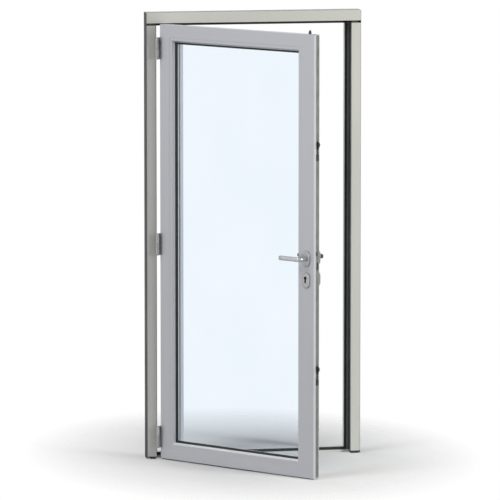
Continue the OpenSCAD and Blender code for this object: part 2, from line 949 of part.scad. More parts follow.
module latch_bolt() color(satin) {
    tail_x = handle_x + 5 + latch_out;
    slope = bolt_t*0.75;
    translate([0, 0, latch_z[0]])
        linear_extrude(latch_z[1] - latch_z[0])
            polygon([[tail_x + 6, mid_w - bolt_t/2], [leaf_x1 + latch_out, mid_w - bolt_t/2],
                     [leaf_x1 + latch_out, mid_w - bolt_t/2 + 2],
                     [leaf_x1 + latch_out - slope, mid_w + bolt_t/2],
                     [tail_x + 6, mid_w + bolt_t/2]]);
    block([tail_x, mid_w - 3, latch_z[0] - 2], [tail_x + 6, mid_w + 3, latch_z[1] + 2]);
}

module deadbolt() color(steel)
    block([handle_x + 11, mid_w - bolt_t/2, dead_z[0]], [leaf_x1 - 1, mid_w + bolt_t/2, dead_z[1]]);

// Hook that reaches up and out from its pivot, drawn in the leaf's plane
module hook(z) color(satin)
    translate([hook_x, mid_w + hook_t/2, z])
        rotate([90, 0, 0])
            linear_extrude(hook_t)
                rotate(-hook_lean)
                    difference() {
                        union() {
                            circle(r = 8);
                            polygon([[-7, 0], [7, 0], [7, hook_l - 8], [-2, hook_l], [-14, hook_l - 2],
                                     [-15, hook_l - 12], [-7, hook_l - 20]]);
                        }
                        circle(r = pivot_r + 0.05);
                    }

module upper_hook() hook(hook_high);

module lower_hook() hook(hook_low);

// Flat rods behind the faceplate, one up and one down from the lock
module upper_drive_rod() color(steel)
    block([rod_x0, rod_front, handle_z + rod_up], [rod_x1, rod_back, hook_high - rod_gap]);

module lower_drive_rod() color(steel)
    block([rod_x0, rod_front, hook_low + rod_gap], [rod_x1, rod_back, handle_z - rod_down]);

// Bolt at the top of the leaf, on a round rod from the lock
module top_bolt() color(black)
    translate([rod_x, mid_w, 0]) {
        translate([0, 0, case_top - 15])
            cylinder(h = leaf_z1 - case_top, r = rod_r);
        translate([0, 0, leaf_z1 - tip_l])
            cylinder(h = tip_l + top_bolt_out - tip_cone, r = tip_r);
        translate([0, 0, leaf_z1 + top_bolt_out - tip_cone])
            cylinder(h = tip_cone, r1 = tip_r, r2 = tip_r/2);
    }

// Handle

// Oval in the leaf's plane, of thickness t from depth w0
module oval(z, w0, t, grow = 0) {
    straight = (oval_h - oval_w)/2;
    translate([handle_x, w0 + t, z])
        rotate([90, 0, 0])
            linear_extrude(t)
                union() {
                    for (s = [-1, 1])
                        translate([0, s*straight])
                            circle(r = oval_w/2 + grow);
                    translate([-oval_w/2 - grow, -straight])
                        square([oval_w + 2*grow, 2*straight]);
                }
}

module handle_ovals() color(satin) difference() {
    for (z = oval_zs) {
        oval(z, -oval_t + 2, oval_t - 2);
        oval(z, -oval_t, 2, -1.5);
        oval(z, leaf_t, oval_t - 2);
        oval(z, leaf_t + oval_t - 2, 2, -1.5);
    }
    y_rod(handle_x, handle_z, neck_r + run, -oval_t - 1, leaf_t + oval_t + 1);
    cylinder_hole(-oval_t - 1, leaf_t + oval_t + 1);
    oval_screw_holes();
}

// Square spindle and the round follower that it turns in the lock
module spindle() color(steel) {
    h = spindle_s/2;
    f = hub_r - 0.05;
    block([handle_x - h, -lever_gap, handle_z - h], [handle_x + h, leaf_t + lever_gap, handle_z + h]);
    difference() {
        y_rod(handle_x, handle_z, f, mid_w - case_t/2, mid_w + case_t/2);
        block([handle_x - h - run, 0, handle_z - h - run],
              [handle_x + h + run, leaf_t, handle_z + h + run]);
    }
}

// Lever: a neck through the oval and a straight rounded grip; the outer one's end turns back
module lever(out) color(satin) {
    s = out ? 1 : -1;
    face_w = out ? leaf_t : 0;
    neck_w = face_w + s*0.5;
    grip_w = face_w + s*lever_gap;
    end_w = grip_w + s*lever_t;
    low = min(grip_w, end_w);
    h = spindle_s/2 + run;
    difference() {
        union() {
            y_rod(handle_x, handle_z, neck_r, min(neck_w, end_w - s*2), max(neck_w, end_w - s*2));
            grip(low, 2, -2);
            grip(low + 2, lever_t - 4, 0);
            grip(low + lever_t - 2, 2, -2);
            if (out)
                block([handle_x - lever_l + 2, face_w + end_gap, handle_z - lever_h/2 + 3],
                      [handle_x - lever_l + 2 + lever_t, low + 3, handle_z + lever_h/2 - 3]);
        }
        block([handle_x - h, min(face_w, grip_w + s*play), handle_z - h],
              [handle_x + h, max(face_w, grip_w + s*play), handle_z + h]);
    }
}

module grip(w0, t, grow) {
    r = lever_h/2 + grow;
    tip = -lever_l + lever_h/2;
    translate([handle_x, w0 + t, handle_z])
        rotate([90, 0, 0])
            linear_extrude(t)
                union() {
                    circle(r = r);
                    translate([tip, 0])
                        circle(r = r);
                    translate([tip, -r])
                        square([-tip, 2*r]);
                }
}

module inner_lever() lever(false);

module outer_lever() lever(true);

framed() head_front_shell();
framed() head_rear_shell();
framed() hinge_jamb_front_shell();
framed() hinge_jamb_rear_shell();
framed() lock_jamb_front_shell();
framed() lock_jamb_rear_shell();
framed() frame_thermal_bars();
framed() lock_jamb_thermal_bars();
framed() threshold_base();
framed() threshold_stop();
framed() frame_gaskets();
framed() joint_pads();
framed() latch_keep();
framed() hook_keeps();
framed() frame_screws();
framed() knuckle(hinge_zs[0], -1);  // hinge_frame_low
framed() knuckle(hinge_zs[1], -1);  // hinge_frame_mid
framed() knuckle(hinge_zs[2], -1);  // hinge_frame_top
open_leaf() knuckle(hinge_zs[0], 1);  // hinge_leaf_low
open_leaf() knuckle(hinge_zs[1], 1);  // hinge_leaf_mid
open_leaf() knuckle(hinge_zs[2], 1);  // hinge_leaf_top
framed() hinge_pins();
framed() hinge_washers();
open_leaf() hinge_stile_front_shell();
open_leaf() hinge_stile_rear_shell();
open_leaf() lock_stile_front_shell();
open_leaf() lock_stile_rear_shell();
open_leaf() top_rail_front_shell();
open_leaf() top_rail_rear_shell();
open_leaf() bottom_rail_front_shell();
open_leaf() bottom_rail_rear_shell();
open_leaf() leaf_thermal_bars();
open_leaf() corner_cleats();
open_leaf() hinge_side_bead();
open_leaf() lock_side_bead();
open_leaf() top_bead();
open_leaf() bottom_bead();
open_leaf() inner_pane();
open_leaf() outer_pane();
open_leaf() pane_spacer();
open_leaf() glazing_blocks();
open_leaf() inner_glazing_gasket();
open_leaf() outer_glazing_gasket();
open_leaf() bottom_brush();
open_leaf() lock_faceplate();
open_leaf() leaf_screws();
open_leaf() lock_case();
open_leaf() hook_cases();
open_leaf() hook_guides();
open_leaf() latch_bolt();
open_leaf() deadbolt();
open_leaf() upper_hook();
open_leaf() lower_hook();
open_leaf() upper_drive_rod();
open_leaf() lower_drive_rod();
open_leaf() top_bolt();
open_leaf() inner_lever();
open_leaf() outer_lever();
open_leaf() spindle();
open_leaf() handle_ovals();
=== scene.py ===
import math
import random

import bmesh
import bpy
from mathutils import Matrix, Vector


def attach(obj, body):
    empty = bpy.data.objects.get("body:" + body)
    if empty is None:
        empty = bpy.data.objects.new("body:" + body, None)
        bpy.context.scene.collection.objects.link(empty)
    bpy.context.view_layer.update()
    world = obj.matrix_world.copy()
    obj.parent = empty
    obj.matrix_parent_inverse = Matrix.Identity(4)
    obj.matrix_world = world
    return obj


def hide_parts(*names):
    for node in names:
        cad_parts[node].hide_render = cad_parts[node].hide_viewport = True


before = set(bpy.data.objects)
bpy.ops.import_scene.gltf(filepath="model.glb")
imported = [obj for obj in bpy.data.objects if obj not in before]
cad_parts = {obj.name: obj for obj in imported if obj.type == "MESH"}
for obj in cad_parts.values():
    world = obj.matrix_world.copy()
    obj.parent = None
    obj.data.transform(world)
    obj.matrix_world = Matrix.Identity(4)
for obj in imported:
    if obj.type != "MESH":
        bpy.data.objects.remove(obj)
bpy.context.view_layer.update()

random.seed(7)

# The door as the CAD places it, in metres. While the leaf is shut, x runs from the middle of
# the door, depth runs back from the leaf's face, and z is the height.
OPEN = math.radians(49.7)
FACE_Y = -0.058
LEAF_X0 = -0.473
LEAF_X1 = 0.473
LEAF_T = 0.075
MID_D = 0.028
PIN_X = -0.476
PIN_OUT = 0.018

# Handle as (x, z), the lever's round neck and flat grip, and the ovals' middles
HANDLE = (0.428, 1.052)
LEVER_L = 0.124
NECK_D = 0.0196
GRIP_W = 0.0115
GRIP_H = 0.0218
GRIP_OUT = 0.050
OVAL_Z = (1.052, 0.950)
OVAL_SIZE = (0.022, 0.038)
OVAL_T = 0.008
CYL_Z = 0.960

# Screws: head radius, depth of the countersink and shank radius, and their places
SCREW = (0.0045, 0.001, 0.0025)
SMALL_SCREW = (0.0020, 0.0006, 0.0018)
HINGE_Z = {"low": 0.111, "mid": 1.049, "top": 1.995}
WING_MID = 0.0265
WING_D = 0.010
WING_SCREWS = (-0.014, 0.014)
KEEP_X = 0.4795
KEEP_Z = ((0.980, 1.104), (1.533, 1.623), (0.468, 0.558))
KEEP_SCREW_END = 0.007
PLATE_SCREW_Z = (0.022, 0.892, 1.139, 2.094)
OVAL_SCREW_Z = (1.025, 1.079, 0.920, 0.980)

# From (x, depth, z) of the shut leaf, and of the frame, to the row frame at rest
LEAF = (Matrix.Translation((PIN_X, FACE_Y - PIN_OUT, 0.0)) @ Matrix.Rotation(-OPEN, 4, "Z")
        @ Matrix.Translation((-PIN_X, PIN_OUT, 0.0)))
FRAME = Matrix.Translation((0.0, FACE_Y, 0.0))


# Materials

def new_material(name):
    """A material with one shader on its output, as (material, node tree, shader)."""
    m = bpy.data.materials.new(name)
    m.use_nodes = True
    t = m.node_tree
    t.nodes.clear()
    out = t.nodes.new("ShaderNodeOutputMaterial")
    b = t.nodes.new("ShaderNodeBsdfPrincipled")
    t.links.new(b.outputs["BSDF"], out.inputs["Surface"])
    return m, t, b


def coords(t, scale, turn=0.0):
    """The object's own coordinates, turned about Z and then scaled."""
    c = t.nodes.new("ShaderNodeTexCoord")
    r = t.nodes.new("ShaderNodeMapping")
    r.inputs["Rotation"].default_value = (0.0, 0.0, turn)
    s = t.nodes.new("ShaderNodeMapping")
    s.inputs["Scale"].default_value = scale
    t.links.new(c.outputs["Object"], r.inputs["Vector"])
    t.links.new(r.outputs["Vector"], s.inputs["Vector"])
    return s.outputs["Vector"]


def noise(t, vector, scale=1.0, detail=3.0, rough=0.5):
    n = t.nodes.new("ShaderNodeTexNoise")
    n.inputs["Scale"].default_value = scale
    n.inputs["Detail"].default_value = detail
    n.inputs["Roughness"].default_value = rough
    t.links.new(vector, n.inputs["Vector"])
    return n.outputs["Fac"]


def ranged(t, value, low, high, start=0.3, end=0.7):
    """A number that runs from low to high while value runs from start to end."""
    n = t.nodes.new("ShaderNodeMapRange")
    n.inputs["From Min"].default_value = start
    n.inputs["From Max"].default_value = end
    n.inputs["To Min"].default_value = low
    n.inputs["To Max"].default_value = high
    t.links.new(value, n.inputs["Value"])
    return n.outputs["Result"]


def tone(t, value, dark, light, start=0.35, end=0.65):
    """A colour that runs from dark to light while value runs from start to end."""
    n = t.nodes.new("ShaderNodeValToRGB")
    n.color_ramp.elements[0].position = start
    n.color_ramp.elements[0].color = (*dark, 1.0)
    n.color_ramp.elements[1].position = end
    n.color_ramp.elements[1].color = (*light, 1.0)
    t.links.new(value, n.inputs["Fac"])
    return n.outputs["Color"]


def mixed(t, a, b, factor):
    """Two colours mixed. The factor is a number, or a socket that gives one."""
    n = t.nodes.new("ShaderNodeMix")
    n.data_type = "RGBA"
    if isinstance(factor, float):
        n.inputs["Factor"].default_value = factor
    else:
        t.links.new(factor, n.inputs["Factor"])
    t.links.new(a, n.inputs["A"])
    t.links.new(b, n.inputs["B"])
    return n.outputs["Result"]


def bump(t, b, height, strength, distance):
    n = t.nodes.new("ShaderNodeBump")
    n.inputs["Strength"].default_value = strength
    n.inputs["Distance"].default_value = distance
    t.links.new(height, n.inputs["Height"])
    t.links.new(n.outputs["Normal"], b.inputs["Normal"])


def srgb(r, g, b):
    """Linear colour of a screen colour, each part from 0 to 255."""
    return tuple(((c/255 + 0.055)/1.055)**2.4 if c > 10 else c/3295 for c in (r, g, b))


def shaded(colour, factor):
    return tuple(min(1.0, c*factor) for c in colour)


def aluminium(name, colour, along, turn=0.0, metal=0.25, rough=0.46,
              dust=(0.9, 0.9, 0.93)):
    """Satin anodised extrusion: fine draw lines along one axis, dust and painted highlight on what
    faces up.
    """
    m, t, b = new_material(name)
    fine = [700.0]*3
    fine[along] = 5.0
    broad = [9.0]*3
    broad[along] = 1.2
    lines = noise(t, coords(t, tuple(fine), turn), 1.0, 4.0, 0.6)
    cloud = noise(t, coords(t, tuple(broad), turn), 1.0, 2.0, 0.5)
    light = shaded(colour, 1.025)
    drawn = tone(t, lines, shaded(colour, 0.965), light)
    patchy = tone(t, cloud, shaded(colour, 0.97), light)
    # What faces up gets paler and less metallic: partly dust, partly a painted highlight on upward
    # faces such as the bottom bead's slope.
    face = t.nodes.new("ShaderNodeNewGeometry")
    split = t.nodes.new("ShaderNodeSeparateXYZ")
    t.links.new(face.outputs["Normal"], split.inputs["Vector"])
    dusty = ranged(t, split.outputs["Z"], 0.0, 1.0, 0.45, 0.75)
    dust_and_highlight = tone(t, cloud, shaded(dust, 0.96), dust)
    metal_colour = mixed(t, drawn, patchy, 0.5)
    t.links.new(mixed(t, metal_colour, dust_and_highlight, dusty), b.inputs["Base Color"])
    t.links.new(ranged(t, dusty, metal, 0.05, 0.0, 1.0), b.inputs["Metallic"])
    t.links.new(ranged(t, lines, rough - 0.05, rough + 0.07), b.inputs["Roughness"])
    b.inputs["Coat Weight"].default_value = 0.08
    b.inputs["Coat Roughness"].default_value = 0.3
    bump(t, b, lines, 0.12, 0.00008)
    return m


def satin(name, colour, turn, rough=0.3, metal=0.9, along=0):
    """Brushed metal of the fittings."""
    m, t, b = new_material(name)
    fine = [1400.0]*3
    fine[along] = 30.0
    lines = noise(t, coords(t, tuple(fine), turn), 1.0, 5.0, 0.65)
    spots = noise(t, coords(t, (60.0, 60.0, 60.0)), 1.0, 3.0, 0.5)
    brushed = tone(t, lines, shaded(colour, 0.9), shaded(colour, 1.06))
    spotted = tone(t, spots, shaded(colour, 0.94), colour)
    t.links.new(mixed(t, brushed, spotted, 0.4), b.inputs["Base Color"])
    b.inputs["Metallic"].default_value = metal
    t.links.new(ranged(t, lines, rough - 0.06, rough + 0.1), b.inputs["Roughness"])
    bump(t, b, lines, 0.15, 0.00006)
    return m


def zinc(name, colour):
    """Zinc plated steel with its cloudy, slightly mottled coat."""
    m, t, b = new_material(name)
    cloud = noise(t, coords(t, (40.0, 40.0, 25.0)), 1.0, 5.0, 0.6)
    grain = noise(t, coords(t, (900.0, 900.0, 900.0)), 1.0, 2.0, 0.5)
    cloudy = tone(t, cloud, shaded(colour, 0.78), shaded(colour, 1.12))
    grainy = tone(t, grain, shaded(colour, 0.9), colour)
    t.links.new(mixed(t, cloudy, grainy, 0.35), b.inputs["Base Color"])
    b.inputs["Metallic"].default_value = 0.8
    t.links.new(ranged(t, cloud, 0.32, 0.5), b.inputs["Roughness"])
    bump(t, b, grain, 0.1, 0.00005)
    return m


def rubber(name, colour, rough=0.62):
    """Matt rubber or plastic with a fine moulded grain and a little dust."""
    m, t, b = new_material(name)
    grain = noise(t, coords(t, (1600.0, 1600.0, 1600.0)), 1.0, 2.0, 0.5)
    dust = noise(t, coords(t, (22.0, 22.0, 7.0)), 1.0, 5.0, 0.6)
    dusty = tone(t, dust, colour, tuple(c*1.5 + 0.004 for c in colour), 0.45, 0.8)
    grainy = tone(t, grain, shaded(colour, 0.85), shaded(colour, 1.15))
    t.links.new(mixed(t, dusty, grainy, 0.4), b.inputs["Base Color"])
    t.links.new(ranged(t, dust, rough - 0.06, rough + 0.12), b.inputs["Roughness"])
    b.inputs["Specular IOR Level"].default_value = 0.35
    bump(t, b, grain, 0.2, 0.0001)
    return m


def seal_rubber(name, colour, foot, x0, x1):
    """Black rubber whose flat foot, between two X places of the frame, carries a painted highlight.
    """
    m = rubber(name, colour)
    t = m.node_tree
    b = t.nodes["Principled BSDF"]
    c = t.nodes.new("ShaderNodeTexCoord")
    split = t.nodes.new("ShaderNodeSeparateXYZ")
    t.links.new(c.outputs["Object"], split.inputs["Vector"])
    # The band between x0 and x1 is painted lighter, a painted highlight standing for the lit foot.
    highlight_band = t.nodes.new("ShaderNodeMath")
    highlight_band.operation = "COMPARE"
    highlight_band.inputs[1].default_value = (x0 + x1)/2
    highlight_band.inputs[2].default_value = (x1 - x0)/2
    t.links.new(split.outputs["X"], highlight_band.inputs[0])
    black = b.inputs["Base Color"].links[0].from_socket
    grain = noise(t, coords(t, (500.0, 500.0, 12.0)), 1.0, 3.0, 0.5)
    painted_highlight = tone(t, grain, shaded(foot, 0.85), foot)
    t.links.new(mixed(t, black, painted_highlight, highlight_band.outputs["Value"]), b.inputs["Base Color"])
    return m


def glass(name):
    """Clear float glass: a pale tint, a mirror-like skin outside and a trace of haze."""
    m = bpy.data.materials.new(name)
    m.use_nodes = True
    t = m.node_tree
    t.nodes.clear()
    out = t.nodes.new("ShaderNodeOutputMaterial")
    clear = t.nodes.new("ShaderNodeBsdfTransparent")
    haze = noise(t, coords(t, (3.0, 3.0, 2.0)), 1.0, 3.0, 0.5)
    t.links.new(tone(t, haze, GLASS_TINT, GLASS_PALE), clear.inputs["Color"])
    shine = t.nodes.new("ShaderNodeBsdfGlossy")
    shine.inputs["Roughness"].default_value = 0.02
    mirror = t.nodes.new("ShaderNodeFresnel")
    mirror.inputs["IOR"].default_value = 1.2
    face = t.nodes.new("ShaderNodeNewGeometry")
    outer = t.nodes.new("ShaderNodeMath")
    outer.operation = "SUBTRACT"
    outer.inputs[0].default_value = 1.0
    t.links.new(face.outputs["Backfacing"], outer.inputs[1])
    gloss = t.nodes.new("ShaderNodeMath")
    gloss.operation = "MULTIPLY"
    t.links.new(mirror.outputs["Fac"], gloss.inputs[0])
    t.links.new(outer.outputs["Value"], gloss.inputs[1])
    mix = t.nodes.new("ShaderNodeMixShader")
    t.links.new(gloss.outputs["Value"], mix.inputs["Fac"])
    t.links.new(clear.outputs["BSDF"], mix.inputs[1])
    t.links.new(shine.outputs["BSDF"], mix.inputs[2])
    t.links.new(mix.outputs["Shader"], out.inputs["Surface"])
    return m


FRAME_COLOUR = srgb(198, 198, 193)
LEAF_COLOUR = srgb(189, 191, 196)
BLACK = srgb(34, 37, 37)
FRAME_DUST = (0.56, 0.56, 0.54)
GLASS_TINT = (0.962, 0.980, 0.997)
GLASS_PALE = (0.967, 0.984, 0.999)
LEVEL, UPRIGHT = 0, 2
ALU_JAMB = aluminium("frame_aluminium_upright", FRAME_COLOUR, UPRIGHT, 0.0, 0.12, 0.5, FRAME_DUST)
ALU_HEAD = aluminium("frame_aluminium_level", FRAME_COLOUR, LEVEL, 0.0, 0.12, 0.5, FRAME_DUST)
# The leaf's aluminium takes the default pale up-facing colour, which is dust and a painted
# highlight.
ALU_STILE = aluminium("leaf_aluminium_upright", LEAF_COLOUR, UPRIGHT, OPEN)
ALU_RAIL = aluminium("leaf_aluminium_level", LEAF_COLOUR, LEVEL, OPEN)
SATIN_LEAF = satin("satin_metal_leaf", srgb(205, 205, 207), OPEN, 0.34, 0.5)
LEVER = satin("satin_metal_lever", srgb(170, 172, 176), OPEN, 0.28, 0.55)
OVAL = satin("satin_metal_oval", srgb(170, 173, 175), OPEN, 0.38, 0.35)
HINGE = satin("satin_metal_hinge", srgb(160, 161, 160), 0.0, 0.42, 0.45, UPRIGHT)
SPACER = satin("satin_metal_spacer", srgb(225, 227, 230), OPEN, 0.45, 0.2, UPRIGHT)
DARK = satin("dark_metal", srgb(46, 46, 47), OPEN, 0.4, 0.3)
# The outer lever's near-black colour is painted shade, standing for the shade it sits in behind the
# leaf.
SHADE = satin("painted_shade_lever", srgb(58, 58, 59), OPEN, 0.36, 0.6)
ZINC = zinc("zinc_steel", srgb(140, 142, 138))
PLATE = zinc("faceplate_steel", srgb(116, 118, 114))
RUBBER = rubber("black_rubber", BLACK)
# The seal's foot colour here is a painted highlight on the black rubber.
SEAL = seal_rubber("black_rubber_seal", BLACK, srgb(112, 114, 114), 0.4650, 0.4745)
PLASTIC = rubber("black_plastic", srgb(38, 40, 39), 0.5)
GREY_RUBBER = rubber("grey_rubber", srgb(176, 180, 184))
GLASS = glass("clear_glass")


# Building

def paint(obj, material):
    obj.data.materials.clear()
    obj.data.materials.append(material)
    for p in obj.data.polygons:
        p.material_index = 0


def add(name, bm, matrix, body, material, slot, *nodes, smooth=35):
    """Makes an object of a mesh, sets it in place, and lets it ride."""
    bmesh.ops.remove_doubles(bm, verts=bm.verts, dist=1e-6)
    bmesh.ops.recalc_face_normals(bm, faces=bm.faces)
    me = bpy.data.meshes.new(name)
    bm.to_mesh(me)
    bm.free()
    me.transform(matrix)
    o = bpy.data.objects.new(name, me)
    bpy.context.scene.collection.objects.link(o)
    for p in me.polygons:
        p.use_smooth = True
    me.set_sharp_from_angle(angle=math.radians(smooth))
    paint(o, material)
    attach(o, body)
    if nodes:
        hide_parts(*nodes)
    return o


def eased(node, body, material, width=0.0006):
    """The node's own form with its sharp edges eased, the long ones most, as on an extrusion."""
    sharp = math.radians(40)
    long_edge = 0.3
    bm = bmesh.new()
    bm.from_mesh(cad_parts[node].data)
    bmesh.ops.remove_doubles(bm, verts=bm.verts, dist=1e-6)
    bmesh.ops.dissolve_limit(bm, angle_limit=math.radians(0.5), verts=bm.verts, edges=bm.edges)
    weight = bm.edges.layers.float.new("bevel_weight_edge")
    for e in bm.edges:
        if len(e.link_faces) == 2 and e.calc_face_angle() > sharp:
            e[weight] = 1.0 if e.calc_length() > long_edge else 0.2
    for f in bm.faces:
        f.smooth = False
    me = bpy.data.meshes.new(node + "_eased")
    bm.to_mesh(me)
    bm.free()
    o = bpy.data.objects.new(node + "_eased", me)
    bpy.context.scene.collection.objects.link(o)
    mod = o.modifiers.new("ease", "BEVEL")
    mod.width = width
    mod.segments = 2
    mod.limit_method = "WEIGHT"
    mod.use_clamp_overlap = True
    dg = bpy.context.evaluated_depsgraph_get()
    done = bpy.data.meshes.new_from_object(o.evaluated_get(dg))
    o.modifiers.clear()
    o.data = done
    paint(o, material)
    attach(o, body)
    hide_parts(node)
    return o


def ring(bm, points):
    """The vertices of one loop."""
    return [bm.verts.new(p) for p in points]


def skin(bm, loops, close_ends=True):
    """Joins loops of equal count into a closed tube."""
    for a, b in zip(loops, loops[1:]):
        n = len(a)
        for i in range(n):
            bm.faces.new((a[i], a[(i + 1) % n], b[(i + 1) % n], b[i]))
    if close_ends:
        bm.faces.new(list(reversed(loops[0])))
        bm.faces.new(loops[-1])


def stadium(cx, cz, half_w, half_h, n=24, grow=0.0):
    """Points of an upright oval with round ends."""
    r = half_w + grow
    s = half_h - half_w
    pts = []
    for k in range(n + 1):
        a = math.pi*k/n
        pts.append((cx + r*math.cos(a), cz + s + r*math.sin(a)))
    for k in range(n + 1):
        a = math.pi + math.pi*k/n
        pts.append((cx + r*math.cos(a), cz - s + r*math.sin(a)))
    return pts


def circle(cx, cz, r, n=40):
    angles = [2*math.pi*k/n for k in range(n)]
    return [(cx + r*math.cos(a), cz + r*math.sin(a)) for a in angles]


def key_hole(cx, cz, r, half, drop, n=30):
    """Outline of a profile cylinder's hole."""
    a0 = -math.acos(half/r)
    pts = []
    for k in range(n + 1):
        a = a0 + (math.pi - 2*a0)*k/n
        pts.append((cx + r*math.cos(a), cz + r*math.sin(a)))
    for k in range(9):
        a = math.pi + math.pi*k/8
        pts.append((cx + half*math.cos(a), cz - drop + half + half*math.sin(a)))
    return pts


def domed_plate(outer, holes, base, steps, sign):
    """A plate with a rounded rim: outer(grow) gives its outline, steps are (height, grow)."""
    bm = bmesh.new()

    def at(p, h):
        return (p[0], base + sign*h, p[1])

    loops = [ring(bm, [at(p, h) for p in outer(g)]) for h, g in steps]
    skin(bm, loops, False)
    top = steps[-1][0]
    for end, h in ((loops[0], steps[0][0]), (loops[-1], top)):
        edges = [bm.edges.get((end[i], end[(i + 1) % len(end)])) for i in range(len(end))]
        for hole in holes:
            v = ring(bm, [at(p, h) for p in hole])
            edges += [bm.edges.new((v[i], v[(i + 1) % len(v)])) for i in range(len(v))]
        bmesh.ops.triangle_fill(bm, use_beauty=True, edges=edges)
    for hole in holes:
        low = ring(bm, [at(p, steps[0][0]) for p in hole])
        high = ring(bm, [at(p, top) for p in hole])
        skin(bm, [low, high], False)
    return bm


def ovals():
    """The four oval plates round the handle and the cylinder hole."""
    bm = bmesh.new()
    steps = [(0.0, 0.0), (0.0042, 0.0), (0.0060, -0.0004), (0.0072, -0.0013),
             (0.0079, -0.0028), (OVAL_T, -0.0045)]
    for side, base in ((-1, 0.0), (1, LEAF_T)):
        for z, upper in ((OVAL_Z[0], True), (OVAL_Z[1], False)):
            if upper:
                holes = [circle(HANDLE[0], HANDLE[1], 0.0101)]
                screws = (z - 0.027, z + 0.027)
            else:
                holes = [key_hole(HANDLE[0], CYL_Z, 0.0086, 0.005, 0.0245)]
                screws = (z - 0.030, z + 0.030)
            holes += [circle(HANDLE[0], s, 0.0022, 20) for s in screws]
            part = domed_plate(lambda g, z=z: stadium(HANDLE[0], z, *OVAL_SIZE, 24, g),
                               holes, base, steps, side)
            me = bpy.data.meshes.new("oval")
            part.to_mesh(me)
            part.free()
            bm.from_mesh(me)
            bpy.data.meshes.remove(me)
    return bm


def section(width, height, corner, n=6):
    """Rounded rectangle, about the middle, as (across, up)."""
    pts = []
    for sx, sz, a0 in ((1, 1, 0.0), (-1, 1, 90.0), (-1, -1, 180.0), (1, -1, 270.0)):
        for k in range(n + 1):
            a = math.radians(a0 + 90.0*k/n)
            pts.append((sx*(width/2 - corner) + corner*math.cos(a),
                        sz*(height/2 - corner) + corner*math.sin(a)))
    return pts


def lever(sign, base):
    """A lever swept from its round neck, round the bend and along the flat grip.

    The outer lever's end turns back towards the glass.
    """
    bm = bmesh.new()
    hx, hz = HANDLE
    bend = 0.013
    end_from = 0.116
    stations = []
    for d in (0.0005, 0.010, 0.020, 0.028, GRIP_OUT - bend):
        stations.append(((hx, d), (0.0, 1.0), 0.0))
    for k in range(1, 8):
        a = math.radians(90.0*k/7)
        stations.append(((hx - bend + bend*math.cos(a), GRIP_OUT - bend + bend*math.sin(a)),
                         (-math.sin(a), math.cos(a)), k/7))
    for u in (0.024, 0.040, 0.060, 0.080, 0.100, end_from, 0.1205, 0.1226, 0.1236, 0.1239):
        stations.append(((hx - u, GRIP_OUT), (-1.0, 0.0), 1.0 + u))
    loops = []
    for (px, pd), (tx, td), s in stations:
        f = min(1.0, s)
        w = NECK_D - (NECK_D - GRIP_W)*f
        h = NECK_D + (GRIP_H - NECK_D)*f
        c = min(w, h)/2*(0.999 - 0.28*f)
        if s > 1.0:
            u = s - 1.0
            end = max(0.0, (u - end_from)/(LEVER_L - end_from))
            k = math.sqrt(max(0.0, 1 - end*end))
            w *= 0.5 + 0.5*k
            h *= 0.62 + 0.38*k
            c = min(w, h)/2*0.72
        nx, nd = td, -tx
        pts = []
        for a, up in section(w, h, c):
            x = px + nx*a
            d = pd + nd*a
            pts.append((x, base + sign*d, hz + up))
        loops.append(ring(bm, pts))
    skin(bm, loops)
    if sign > 0:
        tip = hx - LEVER_L + 0.0062
        loops = []
        for d, less in ((0.0101, 0.0032), (0.0106, 0.0016), (0.0125, 0.0), (0.030, 0.0),
                        (0.0475, 0.0)):
            loops.append(ring(bm, [(tip + a, base + d, hz + up)
                                   for a, up in section(0.0118 - less, 0.0160 - less, 0.0038)]))
        skin(bm, loops)
    return bm


def cross_screw(bm, where, angle, axis, size):
    """A countersunk screw with a cross recess. Its +Z goes into the piece, turned as told."""
    place = Matrix.Translation(where) @ Matrix.Rotation(angle, 4, axis)
    turn = random.uniform(0, 1.5)
    r, depth, shank = size
    n = 24
    rim, low, tip = [ring(bm, [place @ Vector((x, y, z)) for x, y in circle(0.0, 0.0, radius, n)])
                     for radius, z in ((r, 0.0), (shank, depth), (shank, depth + 0.006))]
    skin(bm, [rim, low, tip], False)
    bm.faces.new(tip)
    arm, thin = r*0.62, r*0.13
    shape = [(arm, thin), (thin, thin), (thin, arm), (-thin, arm), (-thin, thin), (-arm, thin),
             (-arm, -thin), (-thin, -thin), (-thin, -arm), (thin, -arm), (thin, -thin), (arm, -thin)]
    ca, sa = math.cos(turn), math.sin(turn)
    shape = [(x*ca - y*sa, x*sa + y*ca) for x, y in shape]
    top = ring(bm, [place @ Vector((x, y, 0.0)) for x, y in shape])
    bottom = ring(bm, [place @ Vector((x*0.7, y*0.7, 0.0008)) for x, y in shape])
    edges = [bm.edges.get((rim[i], rim[(i + 1) % n])) for i in range(n)]
    edges += [bm.edges.new((top[i], top[(i + 1) % len(top)])) for i in range(len(top))]
    bmesh.ops.triangle_fill(bm, use_beauty=True, edges=edges)
    skin(bm, [top, bottom], False)
    bm.faces.new(bottom)


def hinge_flap(node, z):
    """The leaf knuckle with its wing, whose thin flap runs on down beside the frame knuckle."""
    bm = bmesh.new()
    bm.from_mesh(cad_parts[node].data)
    x0, x1 = -0.4746, -0.4731
    d0, d1 = -0.0086, 0.0060
    outline = ((x0, d0), (x1, d0), (x1, d1), (x0, d1))
    skin(bm, [ring(bm, [LEAF @ Vector((x, d, end)) for x, d in outline])
              for end in (z - 0.0525, z + 0.0010)])
    return bm


def leaf_screws():
    """The screws of the hinges' leaf wings, the faceplate and the ovals."""
    bm = bmesh.new()
    for z in HINGE_Z.values():
        for dz in WING_SCREWS:
            where = (LEAF_X0 - 0.003, WING_D, z + WING_MID + dz)
            cross_screw(bm, where, math.pi/2, "Y", SCREW)
    for z in PLATE_SCREW_Z:
        cross_screw(bm, (LEAF_X1 - 0.0005, MID_D, z), -math.pi/2, "Y", SCREW)
    for z in OVAL_SCREW_Z:
        for d, s in ((0.0002 - OVAL_T, 1), (LEAF_T + OVAL_T - 0.0002, -1)):
            cross_screw(bm, (HANDLE[0], d, z), -s*math.pi/2, "X", SMALL_SCREW)
    return bm


